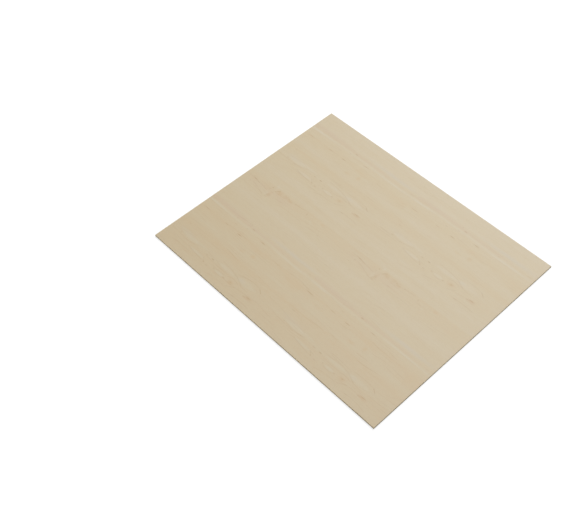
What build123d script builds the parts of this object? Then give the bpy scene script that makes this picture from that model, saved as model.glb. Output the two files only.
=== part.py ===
from build123d import *
import os

# A thin plywood sheet, lying flat. Millimetres, +Z up.
# The origin is the centre of the underside, and the face grain runs along X.

# Driving dimensions
length = 304.8      # along the face grain, 12 in
width = 254.0       # across the face grain, 10 in
thickness = 2.0     # over all the plies, after sanding
arris = 0.15        # flat that a light rub of abrasive leaves on each sawn edge

os.makedirs("parts", exist_ok=True)

# The plies are glued for life and sawn together, so the sheet is one solid:
# its plan is drawn on the ground and raised by the thickness.
with BuildPart() as plywood_sheet:
    with BuildSketch(Plane.XY):
        Rectangle(length, width)
    extrude(amount=thickness)

    # The rub takes the same flat off both faces' outlines and off the four
    # short upright corners, which meet it in a small triangle.
    chamfer(plywood_sheet.edges(), length=arris)

plywood_sheet.part.label = "plywood_sheet"
export_step(plywood_sheet.part, "parts/plywood_sheet.step")

box = plywood_sheet.part.bounding_box()
print(f"sheet {box.size.X:.2f} x {box.size.Y:.2f} x {box.size.Z:.2f} mm")
print(f"volume {plywood_sheet.part.volume / 1000:.2f} cm3")
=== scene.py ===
# %% [markdown]
# # A thin sheet of plywood, ready to cut
#
# The thing on the table is raw stock: a flat rectangle of three-ply, two millimetres thick, with
# pale sanded faces and sawn edges. A plain shape like this lives or dies by its surface, so most
# of these cells are about wood: how veneer lies, where its figure comes from, and what a saw
# leaves on an edge. The sheet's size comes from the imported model, which is loaded first and
# which nothing here moves.

# %% Load the frame
import math

import bmesh
import bpy
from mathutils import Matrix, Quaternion, Vector


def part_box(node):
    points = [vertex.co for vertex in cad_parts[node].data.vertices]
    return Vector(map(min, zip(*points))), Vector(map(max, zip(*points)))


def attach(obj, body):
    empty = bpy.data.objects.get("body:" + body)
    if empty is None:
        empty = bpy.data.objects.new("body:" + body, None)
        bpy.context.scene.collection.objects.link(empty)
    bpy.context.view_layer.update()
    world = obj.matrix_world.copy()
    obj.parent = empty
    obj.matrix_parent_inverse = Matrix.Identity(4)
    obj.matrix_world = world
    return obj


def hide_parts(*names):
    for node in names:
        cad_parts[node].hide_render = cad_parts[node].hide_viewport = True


MM = 0.001

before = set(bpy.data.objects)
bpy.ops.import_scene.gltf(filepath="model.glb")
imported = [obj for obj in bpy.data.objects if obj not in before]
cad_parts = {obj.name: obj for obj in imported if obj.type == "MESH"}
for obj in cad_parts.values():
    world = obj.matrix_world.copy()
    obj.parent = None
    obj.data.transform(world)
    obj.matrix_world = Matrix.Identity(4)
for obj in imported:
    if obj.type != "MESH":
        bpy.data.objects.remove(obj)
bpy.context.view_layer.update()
low, high = (Vector(corner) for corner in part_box("plywood_sheet"))
length, width, thickness = high - low
print(f"frame: {length / MM:.1f} x {width / MM:.1f} x {thickness / MM:.1f} mm")

# %% [markdown]
# ## Where the eye stands
#
# A flat thing gives away the camera: its four corners fix the viewpoint. The lens is a mild
# telephoto, and it looks down from about fifty degrees with one corner of the sheet towards the
# viewer. A camera can be placed by its own position, but an aim point, a direction and a
# distance say the same in numbers a person can check, so it is set that way. The slight roll
# is the lean of a hand-levelled camera.

# %% Place the camera
LENS_MM = 58.06
AZIMUTH = math.radians(47.32)       # 0 looks along +Y
ELEVATION = math.radians(51.81)
ROLL = math.radians(-1.34)
DISTANCE = 944.3 * MM
AIM = Vector((-33.8 * MM, -45.0 * MM, thickness))
SENSOR_MM = 36
NEAREST_SEEN = 10 * MM

towards_camera = Vector((
    math.sin(AZIMUTH) * math.cos(ELEVATION),
    -math.cos(AZIMUTH) * math.cos(ELEVATION),
    math.sin(ELEVATION),
))
bpy.ops.object.camera_add(location=AIM + towards_camera * DISTANCE)
camera = bpy.context.object
camera.name = "camera"
camera.rotation_mode = "QUATERNION"
level = (-towards_camera).to_track_quat("-Z", "Y")
camera.rotation_quaternion = level @ Quaternion((0, 0, 1), ROLL)
camera.data.sensor_width = SENSOR_MM
camera.data.lens = LENS_MM
camera.data.clip_start = NEAREST_SEEN
bpy.context.scene.camera = camera
print("camera at", [round(value / MM) for value in camera.location], "mm")

# %% [markdown]
# ## The sawn edge, row by row
#
# Three veneers are glued with their grain crossed, pressed, sanded and sawn to size. Seen from
# the side there are two pale face plies, a core between them, and two hair-thin glue lines. The
# saw and a rub of abrasive leave four things that a plain box lacks: a tiny round on each arris,
# a shallow groove at each glue line, where the brittle glue chips, a ripple from the teeth, and
# torn fibres where the ply's grain comes out end on.
#
# A box cut by hundreds of loops would do it, but one outline raised row by row is closer to how
# the edge is laid up, and every row can have its own height and its own set-back. So the
# underside's outline is drawn first, cut into short lengths, and then extruded upwards.

# %% Heights and set-backs of the edge
FACE_PLY = 0.6 * MM
ARRIS = 0.15 * MM           # radius of the eased corner
SAW_ALLOWANCE = 0.02 * MM   # keeps every tooth mark inside the sheet's true size
GLUE_DEPTH = 0.035 * MM
GLUE_HALF = 0.03 * MM       # half of the groove's height
ARRIS_STEPS = 4
FACE_PLY_ROWS = 2           # plain rows in a face ply
CORE_ROWS = 3               # and in the core
core_low = FACE_PLY
core_high = thickness - FACE_PLY


def arris_rows(steps):
    """Height above the face, and set-back, of points round a quarter circle from face to side."""
    angles = [math.pi / 2 * step / steps for step in range(steps + 1)]
    return [
        (
            ARRIS * (1 - math.cos(angle)),
            ARRIS * (1 - math.sin(angle)) + SAW_ALLOWANCE * math.sin(angle),
        )
        for angle in angles
    ]


def groove_rows(height):
    """A shallow V round one glue line."""
    return [
        (height - GLUE_HALF, SAW_ALLOWANCE),
        (height, SAW_ALLOWANCE + GLUE_DEPTH),
        (height + GLUE_HALF, SAW_ALLOWANCE),
    ]


def ply_rows(bottom, top, count):
    """Plain rows between two heights, both left out."""
    gap = (top - bottom) / (count + 1)
    return [(bottom + gap * (number + 1), SAW_ALLOWANCE) for number in range(count)]


lower_arris = arris_rows(ARRIS_STEPS)
rows = lower_arris + ply_rows(ARRIS, core_low - GLUE_HALF, FACE_PLY_ROWS)
rows += groove_rows(core_low) + ply_rows(core_low + GLUE_HALF, core_high - GLUE_HALF, CORE_ROWS)
rows += groove_rows(core_high) + ply_rows(core_high + GLUE_HALF, thickness - ARRIS, FACE_PLY_ROWS)
rows += [(thickness - height, set_back) for height, set_back in reversed(lower_arris)]
print(len(rows), "rows from the underside to the upper face")

# %% [markdown]
# The outline starts as a plane, which loses its face and keeps its rim. Each side is divided
# into pieces of under a millimetre, fine enough for tooth marks. One subdivide makes a hundred
# cuts at most, so it is done twice, coarse and then fine. Extruding takes the whole rim up
# to the next row, and a resize about the sheet's own middle sets it back by the right amount,
# because a rectangle that is scaled by the ratio of two lengths stays parallel to itself.
#
# Every operator acts on what is selected, so a small helper comes first, which selects by place.

# %% Choosing by place
def choose(kind, test):
    """Selects only the vertices, edges or faces of the edited mesh that pass the test."""
    bpy.ops.mesh.select_all(action="DESELECT")
    mesh = bmesh.from_edit_mesh(bpy.context.edit_object.data)
    members = getattr(mesh, kind)
    found = 0
    for member in members:
        if test(member):
            member.select_set(True)
            found += 1
    mesh.select_flush_mode()
    bmesh.update_edit_mesh(bpy.context.edit_object.data)
    return found


# %% Raise the edge
STEP = 0.8 * MM             # length of one piece of the outline
FINE_PIECES = 20            # pieces that the second cut makes of each coarse one

bpy.ops.object.select_all(action="DESELECT")
middle = (low + high) / 2
first_height, first_set_back = rows[0]
bpy.ops.mesh.primitive_plane_add(size=1, location=(middle.x, middle.y, low.z + first_height))
sheet = bpy.context.object
sheet.name = "veneered_sheet"
bpy.ops.object.mode_set(mode="EDIT")
bpy.ops.transform.resize(value=(length - 2 * first_set_back, width - 2 * first_set_back, 1))
bpy.ops.mesh.delete(type="ONLY_FACE")
bpy.ops.mesh.select_mode(type="EDGE")
for axis, side in ((0, length), (1, width)):
    coarse_pieces = round(side / STEP / FINE_PIECES)
    for pieces in (coarse_pieces, FINE_PIECES):
        found = choose(
            "edges", lambda edge: abs(edge.verts[0].co[axis] - edge.verts[1].co[axis]) > STEP,
        )
        bpy.ops.mesh.subdivide(number_cuts=pieces - 1)
        print(f"cut {found} edges of the {side / MM:.1f} mm sides into {pieces} pieces each")

bpy.ops.mesh.select_all(action="SELECT")
for (height, set_back), (next_height, next_set_back) in zip(rows, rows[1:]):
    bpy.ops.mesh.extrude_edges_move(TRANSFORM_OT_translate={"value": (0, 0, next_height - height)})
    bpy.ops.transform.resize(
        value=(
            (length - 2 * next_set_back) / (length - 2 * set_back),
            (width - 2 * next_set_back) / (width - 2 * set_back),
            1,
        ),
        center_override=(middle.x, middle.y, low.z + next_height),
    )
print(len(sheet.data.vertices), "vertices before leaving edit mode")
bpy.ops.object.mode_set(mode="OBJECT")
bpy.ops.object.transform_apply(location=True, rotation=True, scale=True)
print("edge:", len(sheet.data.vertices), "vertices,", len(sheet.data.polygons), "faces")

# %% [markdown]
# Both broad faces are flat, so each is closed by filling its rim. A narrow inset follows, because
# smooth shading averages the normals at the rim: without the inset the whole face would take
# a little of the arris's slant, and catch the light in long triangles. The normals are then
# turned outwards, since a rim that is extruded upwards doesn't know its inside from its outside.

# %% Close the two faces
FACE_MARGIN = 0.4 * MM
LEVEL = 0.001 * MM          # a point this near to a face's height is on its rim
bpy.ops.object.mode_set(mode="EDIT")
bpy.ops.mesh.select_mode(type="VERT")
for level_height in (low.z, high.z):
    count = choose("verts", lambda vertex: abs(vertex.co.z - level_height) < LEVEL)
    bpy.ops.mesh.edge_face_add()
    bpy.ops.mesh.inset(thickness=FACE_MARGIN)
    print("filled a rim of", count, "points")
bpy.ops.mesh.select_all(action="SELECT")
bpy.ops.mesh.normals_make_consistent(inside=False)

# %% [markdown]
# ## Tooth marks and torn fibres
#
# A fine circular saw leaves a ripple that is the same through the whole thickness, so whole
# columns of the edge go in by a hundredth of a millimetre or so. Fibres tear most where they are
# cut across: in the core along the two long sides, and in the face plies at the two ends. The
# random nudge is small, follows the surface's own normal, and has a fixed seed, so that the
# sheet is the same each time.

# %% Roughen the sawn edge
TOOTH_PITCH = 3.2 * MM
TOOTH_DEPTH = 0.012 * MM
TORN_END_GRAIN = 0.016 * MM
TORN_LONG_GRAIN = 0.005 * MM
SMOOTH_BELOW = math.radians(40)     # sharper folds than this keep their edge


def on_side(vertex):
    """True for the edge's upright rows, between the two rounded arrises."""
    return low.z + ARRIS < vertex.co.z < high.z - ARRIS


def on_long_side(vertex):
    """True for the two sides that run with the face grain."""
    return abs(vertex.co.y - middle.y) > width / 2 - ARRIS


def in_core(vertex):
    """True between the glue lines."""
    return core_low < vertex.co.z - low.z < core_high


def in_tooth_mark(vertex):
    """True for every fourth column along a side."""
    along = vertex.co.x if on_long_side(vertex) else vertex.co.y
    return on_side(vertex) and along % TOOTH_PITCH < STEP


marked = choose("verts", in_tooth_mark)
bpy.ops.transform.shrink_fatten(value=-TOOTH_DEPTH)
print("tooth marks:", marked, "points")
for seed, (core, long_side) in enumerate(((True, True), (False, False), (False, True), (True, False))):
    choose("verts", lambda v: on_side(v) and in_core(v) == core and on_long_side(v) == long_side)
    torn = TORN_END_GRAIN if core == long_side else TORN_LONG_GRAIN
    bpy.ops.transform.vertex_random(offset=torn, uniform=0, normal=1, seed=seed)
bpy.ops.object.mode_set(mode="OBJECT")
bpy.ops.object.shade_smooth_by_angle(angle=SMOOTH_BELOW)
print("roughened, size now", [round(value / MM, 3) for value in sheet.dimensions], "mm")

# %% [markdown]
# ## Tools for the materials
#
# Every material here is a small graph of nodes. One function adds a node, sets it up and wires
# it, so that a graph reads as a list of steps. Colours are written as they look on a screen, as
# hex numbers, and one function turns them into the linear light that the renderer adds up.

# %% Colours and nodes
def linear(hex_colour):
    """A screen colour such as 'CDBEA3' as linear red, green, blue and alpha."""
    screen = [int(hex_colour[at:at + 2], 16) / 255 for at in (0, 2, 4)]
    light = [
        value / 12.92 if value <= 0.04045 else ((value + 0.055) / 1.055) ** 2.4
        for value in screen
    ]
    return (*light, 1.0)


def add(tree, kind, inputs=None, out=0, stops=None, **settings):
    """Adds a node with its settings, inputs and ramp stops, and returns one of its outputs."""
    node = tree.nodes.new("ShaderNode" + kind)
    for name, value in settings.items():
        setattr(node, name, value)
    for name, value in (inputs or {}).items():
        if isinstance(value, bpy.types.NodeSocket):
            tree.links.new(value, node.inputs[name])
        else:
            node.inputs[name].default_value = value
    if stops:
        # A new ramp has two stops, which become the first and the last.
        ramp = node.color_ramp
        for position, colour in stops[1:-1]:
            ramp.elements.new(position)
        for element, (position, colour) in zip(ramp.elements, stops):
            element.position = position
            element.color = colour
    return node.outputs[out] if node.outputs else node


# %% [markdown]
# ## How veneer gets its figure
#
# Veneer is a very thin slice of a log. Its figure has a few layers, and each becomes a step of
# the graph, with its scale in millimetres taken from wood:
#
# - broad bands along the grain, some cream and some tan, from good and lean years of growth;
# - long, fine fibres, far longer than they are wide;
# - lens-shaped islands and a knot, where the slice grazes the top of a growth ring;
# - short dark flecks, where a fly's grub once tunnelled in the living wood.
#
# All of them are written in leaf coordinates. A leaf is one repeat of the slice, because leaves
# cut one after another from the same log carry the same figure, and slip-matched side by side
# or end to end they show it again.

# %% The leaf and its bands
LEAF_LONG = length / MM / 2     # along the grain
LEAF_WIDE = 150.6               # across the grain

# Distance across the leaf in mm, and tone there: above 0 is cream, below 0 is tan.
BANDS = (
    (0.0, 0.25), (8.0, 0.1), (16.0, 0.05), (20.0, 0.2), (25.0, -0.05), (28.0, -0.15), (28.6, 0.25),
    (30.5, 0.25), (32.0, -0.05), (37.0, -0.1), (41.0, -0.3), (46.0, -0.1), (56.0, 0.1),
    (61.0, -0.05), (66.0, -0.3), (72.0, -0.1), (80.0, 0.05), (84.0, -0.1), (95.0, -0.05),
    (106.0, 0.25), (112.0, -0.05), (117.0, 0.15), (120.2, 0.1), (121.0, -0.2), (127.0, -0.2),
    (141.0, 0.05), (149.0, 0.35),
)
print(f"a leaf is {LEAF_LONG:.1f} x {LEAF_WIDE:.1f} mm, with {len(BANDS)} stops across it")

# %% [markdown]
# Fibres, and the slow wander of the whole figure, are noise drawn out along the grain. Each use of
# it names its grain size both ways, and a shift that keeps it from falling in step with another.

# %% Streaks along the grain
def streaks(tree, place, along, across, detail=3.0, roughness=0.55, shift=0.0):
    """Noise drawn out along the grain, from -0.5 to 0.5, with its grain size in mm."""
    stretched = add(tree, "VectorMath", {0: place, 1: (1 / along, 1 / across, 1)}, operation="MULTIPLY")
    moved = add(tree, "VectorMath", {0: stretched, 1: (shift, shift, shift)}, operation="ADD")
    noise = add(
        tree, "TexNoise", {"Vector": moved, "Scale": 1.0, "Detail": detail, "Roughness": roughness},
        noise_dimensions="2D",
    )
    return add(tree, "Math", {0: noise, 1: 0.5}, operation="SUBTRACT")


# %% [markdown]
# A fleck or a patch is an oval in leaf coordinates: the distance from its middle, counted in its
# own half-widths, is 1 at the rim, and the mask fades from the middle out. An island has pointed
# ends, because a flat cut through a bulge in a growth ring does, so its distance adds the square
# of the run along the grain to the plain distance across it. A line round it is strongest where
# that number is 1. The leaf is first bent a little by noise, so that none of these comes out as
# a drawn figure.

# %% Ovals and arcs
def reach(tree, leaf, centre, half):
    """Distance from an oval's centre, 1 at its rim."""
    away = add(tree, "VectorMath", {0: leaf, 1: (centre[0], centre[1], 0)}, operation="SUBTRACT")
    scaled = add(tree, "VectorMath", {0: away, 1: (1 / half[0], 1 / half[1], 0)}, operation="MULTIPLY")
    return add(tree, "VectorMath", {0: scaled}, out="Value", operation="LENGTH")


def patch(tree, leaf, centre, half):
    """1 in the middle of an oval, fading to 0 at its rim."""
    far = reach(tree, leaf, centre, half)
    limits = {"Value": far, "From Min": 0.0, "From Max": 1.0, "To Min": 1.0, "To Max": 0.0}
    return add(tree, "MapRange", limits, interpolation_type="SMOOTHSTEP", clamp=False)


def lens(tree, along, across, centre, half):
    """Distance from the centre of a shape with pointed ends, 1 at its rim."""
    run_terms = {0: along, 1: 1 / half[0], 2: -centre[0] / half[0]}
    run = add(tree, "Math", run_terms, operation="MULTIPLY_ADD")
    rise_terms = {0: across, 1: 1 / half[1], 2: -centre[1] / half[1]}
    rise = add(tree, "Math", rise_terms, operation="MULTIPLY_ADD")
    off = add(tree, "Math", {0: rise}, operation="ABSOLUTE")
    return add(tree, "Math", {0: run, 1: run, 2: off}, operation="MULTIPLY_ADD")


def rim(tree, far, share):
    """A line round a shape, whose half-width is a share of the shape's size."""
    off = add(tree, "Math", {0: far, 1: 1.0}, operation="SUBTRACT")
    gap = add(tree, "Math", {0: off}, operation="ABSOLUTE")
    limits = {"Value": gap, "From Min": 0.0, "From Max": share, "To Min": 1.0, "To Max": 0.0}
    return add(tree, "MapRange", limits, interpolation_type="SMOOTHSTEP", clamp=False)


def arc(tree, along, across, start, end, bow, line_width):
    """A thin line from start to end, bowed by so much across the grain, fading at both ends."""
    half_run = (end[0] - start[0]) / 2
    half_rise = (end[1] - start[1]) / 2
    centre = ((start[0] + end[0]) / 2, (start[1] + end[1]) / 2)
    run_terms = {0: along, 1: 1 / half_run, 2: -centre[0] / half_run}
    run = add(tree, "Math", run_terms, operation="MULTIPLY_ADD")
    square = add(tree, "Math", {0: run, 1: run}, operation="MULTIPLY")
    straight = add(tree, "Math", {0: run, 1: -half_rise, 2: across}, operation="MULTIPLY_ADD")
    bowed = add(tree, "Math", {0: square, 1: -bow, 2: straight}, operation="MULTIPLY_ADD")
    off = add(tree, "Math", {0: bowed, 1: bow - centre[1]}, operation="ADD")
    gap = add(tree, "Math", {0: off}, operation="ABSOLUTE")
    line_limits = {"Value": gap, "From Min": 0.0, "From Max": line_width, "To Min": 1.0, "To Max": 0.0}
    line = add(tree, "MapRange", line_limits, interpolation_type="SMOOTHSTEP", clamp=False)
    end_limits = {"Value": square, "From Min": 0.5, "From Max": 1.0, "To Min": 1.0, "To Max": 0.0}
    ends = add(tree, "MapRange", end_limits, interpolation_type="SMOOTHSTEP", clamp=False)
    return add(tree, "Math", {0: line, 1: ends}, operation="MULTIPLY")


# %% [markdown]
# The marks themselves are a short list for each kind. All sizes are millimetres in the leaf,
# the first number along the grain and the second across it. Soft marks only turn the wood's
# tone, from tan at minus to cream at plus, as the bands do. Scars and growth lines are brown
# on top of that, and their depth says how brown. A stain turns the hue of all that is under it.

# %% The leaf's marks
# Scars, dark and nearly in line with the grain, and the brown round them: centre, half size, depth.
FLECKS = (
    ((10.0, 41.3), (7.5, 0.6), 2.6), ((40.5, 41.4), (4.6, 0.6), 2.2),
    ((60.3, 42.1), (5.0, 0.75), 3.6), ((85.0, 33.3), (5.6, 0.7), 3.2),
    ((46.8, 34.8), (3.2, 0.6), 1.4), ((65.6, 27.2), (2.8, 1.0), 3.1),
    ((59.8, 24.2), (1.8, 0.9), 1.4), ((59.8, 30.9), (2.0, 0.7), 1.4),
    ((109.0, 27.8), (2.6, 0.7), 1.2), ((146.0, 27.0), (5.0, 1.3), 0.9),
    ((42.0, 28.0), (1.8, 0.7), 1.0), ((125.0, 88.8), (5.2, 0.9), 2.4),
    ((120.5, 90.2), (3.0, 0.8), 1.6), ((13.5, 67.6), (3.6, 0.9), 1.2),
    ((66.0, 91.3), (2.8, 0.8), 1.6), ((60.2, 90.4), (1.5, 1.3), 1.6),
    ((89.4, 89.0), (2.0, 1.1), 1.7), ((74.2, 88.0), (1.2, 1.5), 1.5),
    ((125.0, 89.8), (7.5, 2.6), 0.65), ((65.2, 82.0), (2.6, 1.0), 3.0),
    ((56.5, 82.1), (2.4, 1.0), 1.6), ((15.4, 81.8), (1.9, 1.0), 1.5),
    ((98.5, 88.0), (5.0, 3.4), 0.6), ((36.8, 123.8), (1.3, 1.2), 2.2),
    ((11.8, 132.6), (1.8, 1.0), 1.5), ((61.0, 124.2), (1.8, 1.1), 1.6),
    ((41.0, 133.4), (2.4, 1.5), 0.7), ((39.6, 137.2), (3.0, 1.5), 0.7),
    ((71.0, 124.0), (1.4, 0.8), 1.1), ((88.6, 124.6), (1.2, 2.4), 1.3),
    ((116.2, 137.0), (1.6, 0.8), 1.2), ((112.0, 97.6), (3.2, 0.8), 1.3),
    ((98.8, 87.6), (1.6, 1.1), 1.2), ((48.0, 125.0), (5.6, 4.6), 0.65),
    ((57.0, 124.5), (5.0, 3.4), 0.7), ((63.5, 125.3), (5.0, 2.4), 0.7),
    ((40.3, 134.0), (3.4, 5.2), 0.4), ((14.6, 127.6), (3.4, 0.9), 1.8),
    ((7.8, 137.4), (2.6, 0.8), 1.2), ((16.5, 145.0), (2.2, 0.9), 1.0),
    ((57.0, 132.2), (3.2, 0.8), 1.0), ((35.5, 127.5), (2.4, 1.8), 0.6),
)

# Single growth lines round the islands, the knot and the curl: start, end, bow, width, depth.
ARCS = (
    ((72.0, 76.2), (101.0, 79.4), 0.8, 0.7, 0.9), ((98.0, 78.6), (110.0, 83.6), 0.0, 0.9, 1.0),
    ((105.0, 82.6), (120.0, 84.6), -0.6, 0.8, 0.6), ((70.0, 84.0), (95.0, 84.2), 0.0, 0.8, 0.6),
    ((91.0, 84.6), (107.0, 85.2), 2.0, 0.8, 1.0), ((99.0, 74.4), (128.0, 74.8), 1.1, 0.7, 0.8),
    ((-3.0, 82.2), (31.0, 83.9), -0.5, 0.7, 0.9), ((25.0, 84.2), (45.0, 80.6), -0.4, 0.7, 0.8),
    ((33.0, 87.0), (59.0, 90.6), -0.8, 0.7, 1.0), ((56.0, 86.8), (62.0, 91.2), 0.3, 0.8, 1.0),
    ((76.0, 90.3), (90.0, 90.4), -0.3, 0.6, 0.7), ((97.0, 94.6), (107.0, 89.2), 0.0, 1.1, 0.9),
    ((70.0, 98.0), (81.0, 95.0), 0.0, 0.9, 0.8), ((77.0, 95.4), (97.0, 94.8), 0.2, 0.7, 0.6),
    ((105.0, 98.4), (137.0, 98.6), 1.6, 0.8, 0.9), ((0.0, 126.8), (37.0, 131.0), 0.6, 0.8, 1.0),
    ((13.0, 131.4), (37.0, 139.0), 0.9, 0.8, 1.0), ((62.0, 125.6), (85.0, 122.2), 0.3, 0.8, 0.8),
    ((57.0, 137.0), (91.0, 136.6), 1.2, 0.7, 0.7), ((49.0, 133.4), (67.0, 132.0), 0.4, 0.6, 0.6),
    ((42.0, 127.0), (47.2, 121.8), 0.0, 1.2, 2.1), ((36.6, 141.0), (42.4, 126.6), 0.0, 3.2, 0.5),
    ((9.0, 126.2), (23.0, 129.4), 0.0, 0.8, 1.3), ((125.0, 74.2), (130.2, 78.0), 0.0, 1.0, 1.9),
)

# Cream islands, where the slice grazes a ring: centre, half size, tone, depth of the rim line.
ISLANDS = (
    ((28.0, 79.6), (15.0, 3.4), 0.35, 0.2), ((43.0, 78.0), (14.0, 2.2), 0.3, 0.1),
    ((61.0, 81.9), (2.8, 1.1), 0.12, 0.4), ((85.0, 80.2), (16.0, 2.9), 0.3, 0.15),
    ((111.0, 79.2), (16.0, 4.2), 0.28, 0.15), ((47.0, 87.8), (13.5, 2.3), 0.5, 0.25),
    ((82.6, 88.2), (7.4, 2.2), 0.5, 0.3),
)

# Broad, soft patches: centre, half size, tone.
PATCHES = (
    ((10.0, 30.2), (26.0, 2.0), 0.55), ((120.0, 30.4), (36.0, 1.4), 0.45),
    ((145.0, 47.0), (22.0, 10.0), -0.3), ((88.0, 44.0), (16.0, 4.0), -0.3),
    ((91.0, 51.0), (4.0, 5.0), -0.55), ((77.0, 54.0), (7.0, 2.5), -0.5),
    ((30.0, 56.0), (30.0, 4.0), 0.15), ((98.5, 88.0), (6.0, 4.0), -0.28),
    ((98.5, 88.0), (9.0, 5.5), -0.25), ((125.0, 89.5), (8.0, 3.2), -0.5),
    ((48.0, 125.0), (5.6, 5.0), -0.5), ((56.0, 125.0), (7.0, 4.0), -0.3),
    ((63.5, 125.5), (5.4, 3.0), -0.42), ((40.5, 133.0), (3.8, 8.0), -0.38),
    ((40.6, 121.0), (2.8, 4.8), 0.5), ((36.6, 133.0), (2.2, 4.5), 0.3),
    ((110.0, 123.6), (5.0, 2.8), -0.45), ((98.0, 129.4), (3.4, 1.8), 0.4),
    ((138.0, 130.0), (13.0, 8.0), -0.1), ((49.0, 100.0), (12.0, 1.6), 0.3),
    ((32.0, 127.0), (8.0, 5.0), -0.2),
)

# Stains that turn the wood's hue: centre, half size, colour, strength.
COOL = "C8C0B4"
PINK = "CAB09A"
STAINS = (
    ((118.0, 21.5), (50.0, 3.8), COOL, 0.3), ((20.0, 77.0), (20.0, 4.5), COOL, 0.12),
    ((105.0, 79.0), (6.0, 3.2), COOL, 0.16), ((20.0, 25.0), (64.0, 5.0), PINK, 0.26),
    ((85.0, 26.4), (82.0, 2.6), PINK, 0.2), ((22.0, 131.0), (30.0, 8.0), PINK, 0.1),
    ((52.0, 130.0), (30.0, 9.0), PINK, 0.14), ((125.0, 89.5), (8.0, 3.0), PINK, 0.08),
)

# Where fibres part round a hard spot: centre, half size, and how strongly they part.
PARTINGS = (
    ((98.5, 88.0), (20.0, 9.0), 0.45), ((61.0, 82.0), (12.0, 4.5), 0.4),
    ((84.0, 80.3), (20.0, 5.5), 0.35), ((47.0, 88.0), (19.0, 4.5), 0.35),
    ((43.0, 130.0), (16.0, 14.0), 0.3),
)
print(len(FLECKS), "flecks,", len(ARCS), "growth lines,", len(ISLANDS), "islands")
print(len(PATCHES), "patches,", len(STAINS), "stains,", len(PARTINGS), "partings")

# %% [markdown]
# ## Birch face veneer, sanded
#
# Birch ply comes sanded and bare: fine, even and dull, with a faint silk along the grain. Bare
# wood is a dielectric, so it keeps the usual IOR of 1.5 and a middling roughness, and the colour
# does nearly all the work. Pale veneer hardly changes in brightness: it wanders between a warm
# tan and a cooler cream, so the bands and patches pick a place on a short ramp of such colours.
# Scars and growth lines then mix in a brown. The scars and the finest fibres also drive a bump
# of a few hundredths of a millimetre, since the abrasive cuts soft early wood a little deeper.
#
# The renderer has room for only so many half-finished values at once, and it works through the
# nodes in the order they were made, except that noise has to wait a turn. So each mark is made
# and added before the next is begun, the fibres come last, and the bands are read from their
# ramp's Alpha, which is a plain number already. The smooth steps have their clamp off, since a
# smooth step never leaves its range and a clamp is one more late node. Otherwise the store
# overflows, and the wood comes out black.
#
# The graph is long, so each step has a cell of its own. The first finds the place on the leaf. The
# bands of real veneer wander: slowly over the sheet's length, and a little at the scale of
# a finger. So the place is pushed sideways by noise, and is then counted from the corner of the
# leaf that it falls on.

# %% The place on the leaf
SLOW_SWERVE = 3.2       # mm
QUICK_SWERVE = 1.2      # mm


def place_on_leaf(tree, place):
    """The swerving place on the sheet, its distance across, and the place on the leaf, all in mm."""
    slow = streaks(tree, place, along=95, across=40, detail=1)
    quick = streaks(tree, place, along=26, across=7, detail=2, shift=5.3)
    swerve = add(tree, "Math", {0: slow, 1: SLOW_SWERVE}, operation="MULTIPLY")
    swerve = add(tree, "Math", {0: quick, 1: QUICK_SWERVE, 2: swerve}, operation="MULTIPLY_ADD")
    wander = add(tree, "CombineXYZ", {"Y": swerve})
    bent = add(tree, "VectorMath", {0: place, 1: wander}, operation="ADD")
    bent_x = add(tree, "SeparateXYZ", {0: bent}, out="X")
    bent_y = bent_x.node.outputs["Y"]
    from_end = add(tree, "Math", {0: bent_x, 1: length / MM / 2}, operation="ADD")
    from_side = add(tree, "Math", {0: width / MM / 2, 1: bent_y}, operation="SUBTRACT")
    along = add(tree, "Math", {0: from_end, 1: LEAF_LONG, 2: 0.0}, operation="WRAP")
    across = add(tree, "Math", {0: from_side, 1: LEAF_WIDE, 2: 0.0}, operation="WRAP")
    return bent, bent_y, along, across


# %% [markdown]
# Fibres part round knots and islands, as water does round a stone. So the noise that draws them is
# read at a place that is pulled away from each such middle, most of all near it.

# %% The flow of the fibres
def fibre_flow(tree, bent, leaf):
    """The swerving place again, stretched away from every hard spot."""
    parted = leaf
    for centre, half, strength in PARTINGS:
        away = add(tree, "VectorMath", {0: leaf, 1: (centre[0], centre[1], 0)}, operation="SUBTRACT")
        pull = add(tree, "VectorMath", {0: away, 1: (0, -strength, 0)}, operation="MULTIPLY")
        mask = patch(tree, leaf, centre, half)
        here = add(tree, "VectorMath", {0: pull, "Scale": mask}, operation="SCALE")
        parted = add(tree, "VectorMath", {0: parted, 1: here}, operation="ADD")
    shift = add(tree, "VectorMath", {0: parted, 1: leaf}, operation="SUBTRACT")
    return add(tree, "VectorMath", {0: shift, 1: (1, -1, 1), 2: bent}, operation="MULTIPLY_ADD")


# %% [markdown]
# The tone is one number, tan below 0 and cream above. It starts from the bands across the leaf
# and a slow drift, which is painted sheen: the wood turns paler and cooler towards the +Y side,
# as the softbox's sheen would make it look. Every soft patch and island then adds its share.

# %% The tone of the wood
# Painted sheen, in tone per mm: the +Y side is painted paler and cooler, as if lit.
PAINTED_SHEEN_DRIFT = 0.002     # tone per mm
ISLAND_CORE = 0.45      # share of an island that has its full tone


def plain(value):
    """A ramp stop that carries a plain number, read from the ramp's Alpha."""
    return (value, value, value, value)


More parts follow.
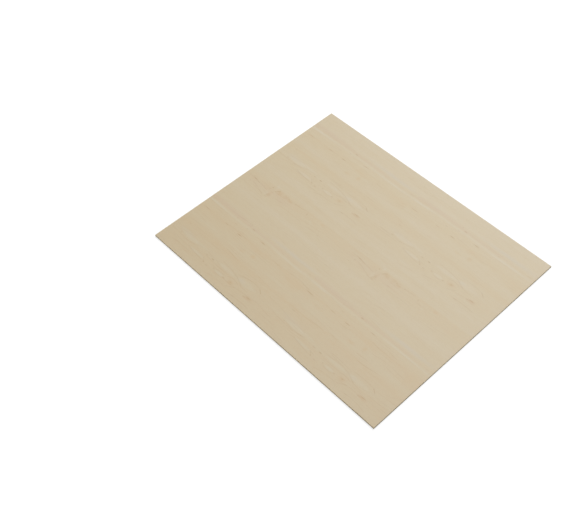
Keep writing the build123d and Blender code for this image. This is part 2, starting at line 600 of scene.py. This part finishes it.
def soft_tone(tree, leaf, along, across, bent_y):
    """The tone from the bands, the patches and the islands."""
    share = add(tree, "Math", {0: across, 1: LEAF_WIDE}, operation="DIVIDE")
    # A ramp holds 0 to 1, so a band's tone is halved and lifted, and the next steps undo that.
    band_stops = [(at / LEAF_WIDE, plain(0.5 + band / 2)) for at, band in BANDS]
    bands = add(tree, "ValToRGB", {"Fac": share}, out="Alpha", stops=band_stops)
    # The painted sheen: a tone that rises towards +Y, so that side looks lit.
    painted_sheen_drift = add(tree, "Math", {0: bent_y, 1: PAINTED_SHEEN_DRIFT, 2: -1.0}, operation="MULTIPLY_ADD")
    tone = add(tree, "Math", {0: bands, 1: 2.0, 2: painted_sheen_drift}, operation="MULTIPLY_ADD")
    for centre, half, strength in PATCHES:
        mask = patch(tree, leaf, centre, half)
        tone = add(tree, "Math", {0: mask, 1: strength, 2: tone}, operation="MULTIPLY_ADD")
    for centre, half, strength, _ in ISLANDS:
        far = lens(tree, along, across, centre, half)
        limits = {"Value": far, "From Min": ISLAND_CORE, "From Max": 1.0, "To Min": 1.0, "To Max": 0.0}
        mask = add(tree, "MapRange", limits, interpolation_type="SMOOTHSTEP", clamp=False)
        tone = add(tree, "Math", {0: mask, 1: strength, 2: tone}, operation="MULTIPLY_ADD")
    return tone


# %% [markdown]
# Brown is a second number. The scars, the single growth lines and the rims of the islands add
# their depths to it first.

# %% The brown marks
RIM_SHARE = 0.4         # half-width of an island's rim line, as a share of the island


def scars(tree, leaf, along, across):
    """Makes each brown mark's mask when it is asked for, with its depth."""
    for centre, half, depth in FLECKS:
        yield patch(tree, leaf, centre, half), depth
    for start, end, bow, line_width, depth in ARCS:
        yield arc(tree, along, across, start, end, bow, line_width), depth
    for centre, half, _, depth in ISLANDS:
        yield rim(tree, lens(tree, along, across, centre, half), share=RIM_SHARE), depth


def brown_marks(tree, leaf, along, across):
    """The depths of all brown marks, added up."""
    brown = 0.0
    for mask, depth in scars(tree, leaf, along, across):
        brown = add(tree, "Math", {0: mask, 1: depth, 2: brown}, operation="MULTIPLY_ADD")
    return brown


# %% [markdown]
# Regular growth lines run between the marks. They are the sides of a triangle wave across the
# grain, made uneven by noise, so that they come and go along the sheet. They are strongest in
# tan wood.

# %% The regular growth lines
RING_PITCH = 3.4        # mm between lines, where the slice cuts the rings cleanly
RING_SWERVE = 2.6       # how many lines they wander
LINE_SHARE = 0.14       # half-width of a line, as a share of the pitch
IN_CREAM = 0.35         # strength of the lines in cream wood
IN_TAN = 1.4            # and in tan wood


def growth_lines(tree, flow, tone):
    """Thin lines a few millimetres apart, from 0 to their full strength."""
    flow_y = add(tree, "SeparateXYZ", {0: flow}, out="Y")
    uneven = streaks(tree, flow, along=60, across=11, detail=1, shift=2.9)
    rings = add(tree, "Math", {0: flow_y, 1: 1 / RING_PITCH}, operation="MULTIPLY")
    rings = add(tree, "Math", {0: uneven, 1: RING_SWERVE, 2: rings}, operation="MULTIPLY_ADD")
    off_line = add(tree, "Math", {0: rings, 1: 0.5}, operation="PINGPONG")
    limits = {"Value": off_line, "From Min": 0.0, "From Max": LINE_SHARE, "To Min": 1.0, "To Max": 0.0}
    line = add(tree, "MapRange", limits, interpolation_type="SMOOTHSTEP", clamp=False)
    coming = streaks(tree, flow, along=38, across=9, detail=1, shift=7.7)
    shown = add(tree, "MapRange", {"Value": coming, "From Min": -0.04, "From Max": 0.16})
    drawn = add(tree, "Math", {0: line, 1: shown}, operation="MULTIPLY")
    in_tan = add(tree, "MapRange", {
        "Value": tone, "From Min": 0.4, "From Max": -0.4, "To Min": IN_CREAM, "To Max": IN_TAN,
    })
    return add(tree, "Math", {0: drawn, 1: in_tan}, operation="MULTIPLY")


# %% [markdown]
# Last come the fibres. Long ones turn the tone, and fine ones and the pores are brown. A birch
# pore is under a tenth of a millimetre wide, so the pores are drawn a little coarser, as dashes.

# %% The fibres and pores
def fibres(tree, flow, tone, brown):
    """Adds the fibres to the tone and the brown, and gives the finest ones as well, for the bump."""
    fine = streaks(tree, flow, along=9, across=0.22, detail=2, shift=3.9)
    dashes = streaks(tree, flow, along=2.4, across=0.16, detail=1, shift=8.3)
    pores = add(tree, "MapRange", {"Value": dashes, "From Min": 0.08, "From Max": 0.26})
    for layer, strength in (
        (streaks(tree, flow, along=70, across=5, shift=1.7), 0.35),
        (streaks(tree, flow, along=45, across=0.9, shift=9.1), 0.4),
        (streaks(tree, flow, along=8, across=3.5, detail=2, shift=6.1), 0.4),
    ):
        tone = add(tree, "Math", {0: layer, 1: strength, 2: tone}, operation="MULTIPLY_ADD")
    for layer, depth in (
        (growth_lines(tree, flow, tone), 0.8),
        (streaks(tree, flow, along=30, across=1.6, shift=4.3), 0.9),
        (fine, 1.2),
        (pores, 0.9),
    ):
        brown = add(tree, "Math", {0: layer, 1: depth, 2: brown}, operation="MULTIPLY_ADD")
    return tone, brown, fine


# %% [markdown]
# The tone picks a colour from the ramp, the brown is mixed in, and the stains go over both.

# %% The colour of the wood
TONE_RAMP = (
    (0.00, "CCAF81"), (0.25, "CFB791"), (0.50, "D0BF9E"), (0.75, "D3C6AD"), (1.00, "D5CEBA"),
)
TONE_SPAN = 4.0         # tones from -2 to 2 run over the whole ramp
SCAR = "9A651E"
SCAR_SHARE = 0.105      # how much of the scar colour a depth of 1 brings


def wood_colour(tree, leaf, tone, brown):
    """The colour for a tone and a depth of brown, with the leaf's stains on it."""
    span = add(tree, "Math", {0: tone, 1: 1 / TONE_SPAN, 2: 0.5}, operation="MULTIPLY_ADD")
    wood_stops = [(at, linear(hex_colour)) for at, hex_colour in TONE_RAMP]
    wood = add(tree, "ValToRGB", {"Fac": span}, stops=wood_stops)
    scarred = add(tree, "Math", {0: brown, 1: SCAR_SHARE}, operation="MULTIPLY", use_clamp=True)
    inputs = {"Factor": scarred, "A": wood, "B": linear(SCAR)}
    wood = add(tree, "Mix", inputs, out="Result", data_type="RGBA")
    for centre, half, stain, strength in STAINS:
        mask = patch(tree, leaf, centre, half)
        amount = add(tree, "Math", {0: mask, 1: strength}, operation="MULTIPLY")
        inputs = {"Factor": amount, "A": wood, "B": linear(stain)}
        wood = add(tree, "Mix", inputs, out="Result", data_type="RGBA")
    return wood


# %% [markdown]
# Now the steps are put together. The underside is another leaf of the same log, so it is the same
# graph, slid along and turned end for end.

# %% The face veneer
FACE_ROUGHNESS = 0.5
BROWN_SINKS = -0.4              # scars and pores lie lower than the fibres
FACE_RELIEF = 0.03 * MM


def face_veneer(name, slide, turn):
    """The sanded face of one leaf of birch, slid by so many mm and turned about the sheet's middle."""
    material = bpy.data.materials.new(name)
    material.use_nodes = True
    tree = material.node_tree
    shader = tree.nodes["Principled BSDF"]
    spot = add(tree, "TexCoord", out="Object")
    place = add(tree, "Mapping", {
        "Vector": spot, "Location": (slide[0], slide[1], 0), "Rotation": (0, 0, turn),
        "Scale": (1 / MM, 1 / MM, 1 / MM),
    })
    bent, bent_y, along, across = place_on_leaf(tree, place)
    leaf = add(tree, "CombineXYZ", {"X": along, "Y": across})
    flow = fibre_flow(tree, bent, leaf)
    tone = soft_tone(tree, leaf, along, across, bent_y)
    brown = brown_marks(tree, leaf, along, across)
    tone, brown, fine = fibres(tree, flow, tone, brown)
    tree.links.new(wood_colour(tree, leaf, tone, brown), shader.inputs["Base Color"])

    shader.inputs["Roughness"].default_value = FACE_ROUGHNESS
    height = add(tree, "Math", {0: brown, 1: BROWN_SINKS, 2: fine}, operation="MULTIPLY_ADD")
    bump = add(tree, "Bump", {"Strength": 0.35, "Distance": FACE_RELIEF, "Height": height})
    tree.links.new(bump, shader.inputs["Normal"])
    return material


upper_veneer = face_veneer("sanded_birch_veneer_upper", slide=(0, 0), turn=0)
under_veneer = face_veneer("sanded_birch_veneer_under", slide=(47, 31), turn=math.pi)
print("face graphs:", len(upper_veneer.node_tree.nodes), "nodes each")

# %% [markdown]
# ## The sawn edge's own material
#
# Cut wood on edge is duller and greyer than the sanded face, since light sinks into the open
# ends of the fibres. Three things show: the ply bands, the thin brown glue lines between them,
# and saw scratches. On the long sides the core shows its end grain, and at the two ends the face
# plies do, so the same graph is made twice with the plies swapped. The core's end grain on the
# long sides is browner than bare end grain: part of that brown is painted shade and painted warm
# bounce light, as from other sheets stacked under this one.

# %% The sawn edge
FACE_LONG_GRAIN = "D0C1A3"
FACE_END_GRAIN = "AF9A76"
CORE_LONG_GRAIN = "CDBC98"
# Part end grain, part painted shade and painted warm bounce light, as from sheets stacked under it.
CORE_END_GRAIN_AND_PAINTED_SHADE = "A2854F"
GLUE = "7A6548"
GLUE_SHARE = 0.02               # how far a glue line's colour spreads, as a share of the thickness
GLUE_WANDER = 0.12              # mm that the plies wander up and down
SAWN_ROUGHNESS = 0.85
SAWN_RELIEF = 0.05 * MM


def sawn_edge(name, core_colour, face_colour, scratched_along):
    """The edge of three-ply, by height, with scratches along the edge, or else up it."""
    material = bpy.data.materials.new(name)
    material.use_nodes = True
    tree = material.node_tree
    shader = tree.nodes["Principled BSDF"]
    spot = add(tree, "TexCoord", out="Object")
    place = add(tree, "Mapping", {"Vector": spot, "Scale": (1 / MM, 1 / MM, 1 / MM)})
    uneven = add(tree, "TexNoise", {"Vector": place, "Scale": 0.12, "Detail": 2.0})
    lifted = add(tree, "Math", {0: uneven, 1: 0.5}, operation="SUBTRACT")
    height = add(tree, "SeparateXYZ", {0: place}, out="Z")
    wavy = add(tree, "Math", {0: lifted, 1: GLUE_WANDER, 2: height}, operation="MULTIPLY_ADD")
    share = add(tree, "Math", {0: wavy, 1: thickness / MM}, operation="DIVIDE")
    first = FACE_PLY / thickness
    last = 1 - FACE_PLY / thickness
    face, core, glue = (linear(colour) for colour in (face_colour, core_colour, GLUE))
    plies = add(tree, "ValToRGB", {"Fac": share}, stops=[
        (0.0, face), (first - GLUE_SHARE, face), (first, glue), (first + GLUE_SHARE, core),
        (last - GLUE_SHARE, core), (last, glue), (last + GLUE_SHARE, face), (1.0, face),
    ])
    stretch = (0.35, 0.35, 3.0) if scratched_along else (3.0, 3.0, 0.35)
    fibre_place = add(tree, "VectorMath", {0: place, 1: stretch}, operation="MULTIPLY")
    fibre = add(tree, "TexNoise", {"Vector": fibre_place, "Scale": 1.0, "Detail": 3.0})
    dark = add(tree, "MapRange", {
        "Value": fibre, "From Min": 0.3, "From Max": 0.7, "To Min": 0.86, "To Max": 1.06,
    })
    colour = add(tree, "VectorMath", {0: plies, "Scale": dark}, operation="SCALE")
    tree.links.new(colour, shader.inputs["Base Color"])
    shader.inputs["Roughness"].default_value = SAWN_ROUGHNESS
    bump = add(tree, "Bump", {"Strength": 0.5, "Distance": SAWN_RELIEF, "Height": fibre})
    tree.links.new(bump, shader.inputs["Normal"])
    return material


# The long edge's core colour carries painted shade as well as end grain.
long_edge = sawn_edge("sawn_birch_edge_long", CORE_END_GRAIN_AND_PAINTED_SHADE, FACE_LONG_GRAIN, scratched_along=True)
end_edge = sawn_edge("sawn_birch_edge_end", CORE_LONG_GRAIN, FACE_END_GRAIN, scratched_along=False)
print("edge graphs:", len(long_edge.node_tree.nodes), "nodes each")

# %% [markdown]
# Each face of the mesh takes its material by the way it points. A slanted strip of the arris goes
# with the edge until it is nearly level.

# %% Give each face its material
NEARLY_LEVEL = 0.9
sheet.data.materials.clear()
for material in (upper_veneer, under_veneer, long_edge, end_edge):
    sheet.data.materials.append(material)
counts = [0, 0, 0, 0]
for polygon in sheet.data.polygons:
    normal = polygon.normal
    if normal.z > NEARLY_LEVEL:
        slot = 0
    elif normal.z < -NEARLY_LEVEL:
        slot = 1
    elif abs(normal.y) > abs(normal.x):
        slot = 2
    else:
        slot = 3
    polygon.material_index = slot
    counts[slot] += 1
print("faces per material:", counts)

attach(sheet, "root")
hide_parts("plywood_sheet")

# %% [markdown]
# ## Floor, backdrop and light
#
# A product picture of pale wood needs a white ground that throws no glow of its own on it. The
# floor shows as white because it glows a little to the camera alone, and it still darkens under
# the sheet, so the contact shadow stays. Further out, where the lamp's light thins, the glow
# grows to a full white, so that a low view has no grey horizon. Bounced light sees an ordinary
# pale floor. The world does the same: white to the camera and to reflections, and a soft grey
# to everything it lights.

# %% The floor
FLOOR_SIZE = 6.0        # metres
FLOOR_DROP = 0.02 * MM
NEAR_GLOW = 0.72        # with the lamp's light this comes to white
SHADOW_REACH = 0.25     # metres from the middle, past the sheet's own shadow
LAMP_REACH = 0.75
bpy.ops.mesh.primitive_plane_add(size=FLOOR_SIZE, location=(0, 0, low.z - FLOOR_DROP))
floor = bpy.context.object
floor.name = "floor"
paper = bpy.data.materials.new("white_paper_floor")
paper.use_nodes = True
tree = paper.node_tree
tree.nodes.clear()
matt = add(tree, "BsdfDiffuse", {"Color": linear("E6E6E6")})
shown = add(tree, "BsdfDiffuse", {"Color": linear("A8A8A8")})
spot = add(tree, "TexCoord", out="Object")
far = add(tree, "VectorMath", {0: spot}, out="Value", operation="LENGTH")
strength = add(tree, "MapRange", {
    "Value": far, "From Min": SHADOW_REACH, "From Max": LAMP_REACH, "To Min": NEAR_GLOW, "To Max": 1.0,
})
glow = add(tree, "Emission", {"Color": (1, 1, 1, 1), "Strength": strength})
seen = add(tree, "AddShader", {0: shown, 1: glow})
eye = add(tree, "LightPath", out="Is Camera Ray")
mirror = eye.node.outputs["Is Glossy Ray"]
either = add(tree, "Math", {0: eye, 1: mirror}, operation="MAXIMUM")
look = add(tree, "MixShader", {0: either, 1: matt, 2: seen})
add(tree, "OutputMaterial", {"Surface": look})
floor.data.materials.append(paper)
print("floor:", FLOOR_SIZE, "m square, glowing from", NEAR_GLOW, "to 1.0")

# %% The world
ROOM_LIGHT = 0.2
world = bpy.data.worlds.new("soft_white_room")
bpy.context.scene.world = world
world.use_nodes = True
tree = world.node_tree
tree.nodes.clear()
room = add(tree, "Background", {"Color": (1, 1, 1, 1), "Strength": ROOM_LIGHT})
white = add(tree, "Background", {"Color": (1, 1, 1, 1), "Strength": 1.0})
eye = add(tree, "LightPath", out="Is Camera Ray")
mirror = eye.node.outputs["Is Glossy Ray"]
through = eye.node.outputs["Is Transmission Ray"]
either = add(tree, "Math", {0: eye, 1: mirror}, operation="MAXIMUM")
any_look = add(tree, "Math", {0: either, 1: through}, operation="MAXIMUM")
sky = add(tree, "MixShader", {0: any_look, 1: room, 2: white})
add(tree, "OutputWorld", {"Surface": sky})
print("world:", ROOM_LIGHT, "on the sheet, 1.0 to the eye")

# %% [markdown]
# The key light is a big softbox high behind the sheet, which leaves the end on the right in
# shade. A dim card, low on the left, lifts the long edge that faces the viewer, so that its
# plies can be told apart. It skims the upper face and hardly lights it.

# %% The softbox and the card
def soft_light(name, place, size, power):
    """A square area light that faces the sheet."""
    bpy.ops.object.light_add(type="AREA", location=place)
    light = bpy.context.object
    light.name = name
    light.data.size = size
    light.data.energy = power
    light.rotation_mode = "QUATERNION"
    light.rotation_quaternion = (-Vector(place)).to_track_quat("-Z", "Y")
    print(name, "at", place, "m,", power, "W")


soft_light("softbox", (-0.34, 1.12, 1.9), 1.3, 38.0)
soft_light("card", (-0.55, -1.75, 0.3), 1.0, 7)

view = bpy.context.scene.view_settings
view.view_transform = "Standard"
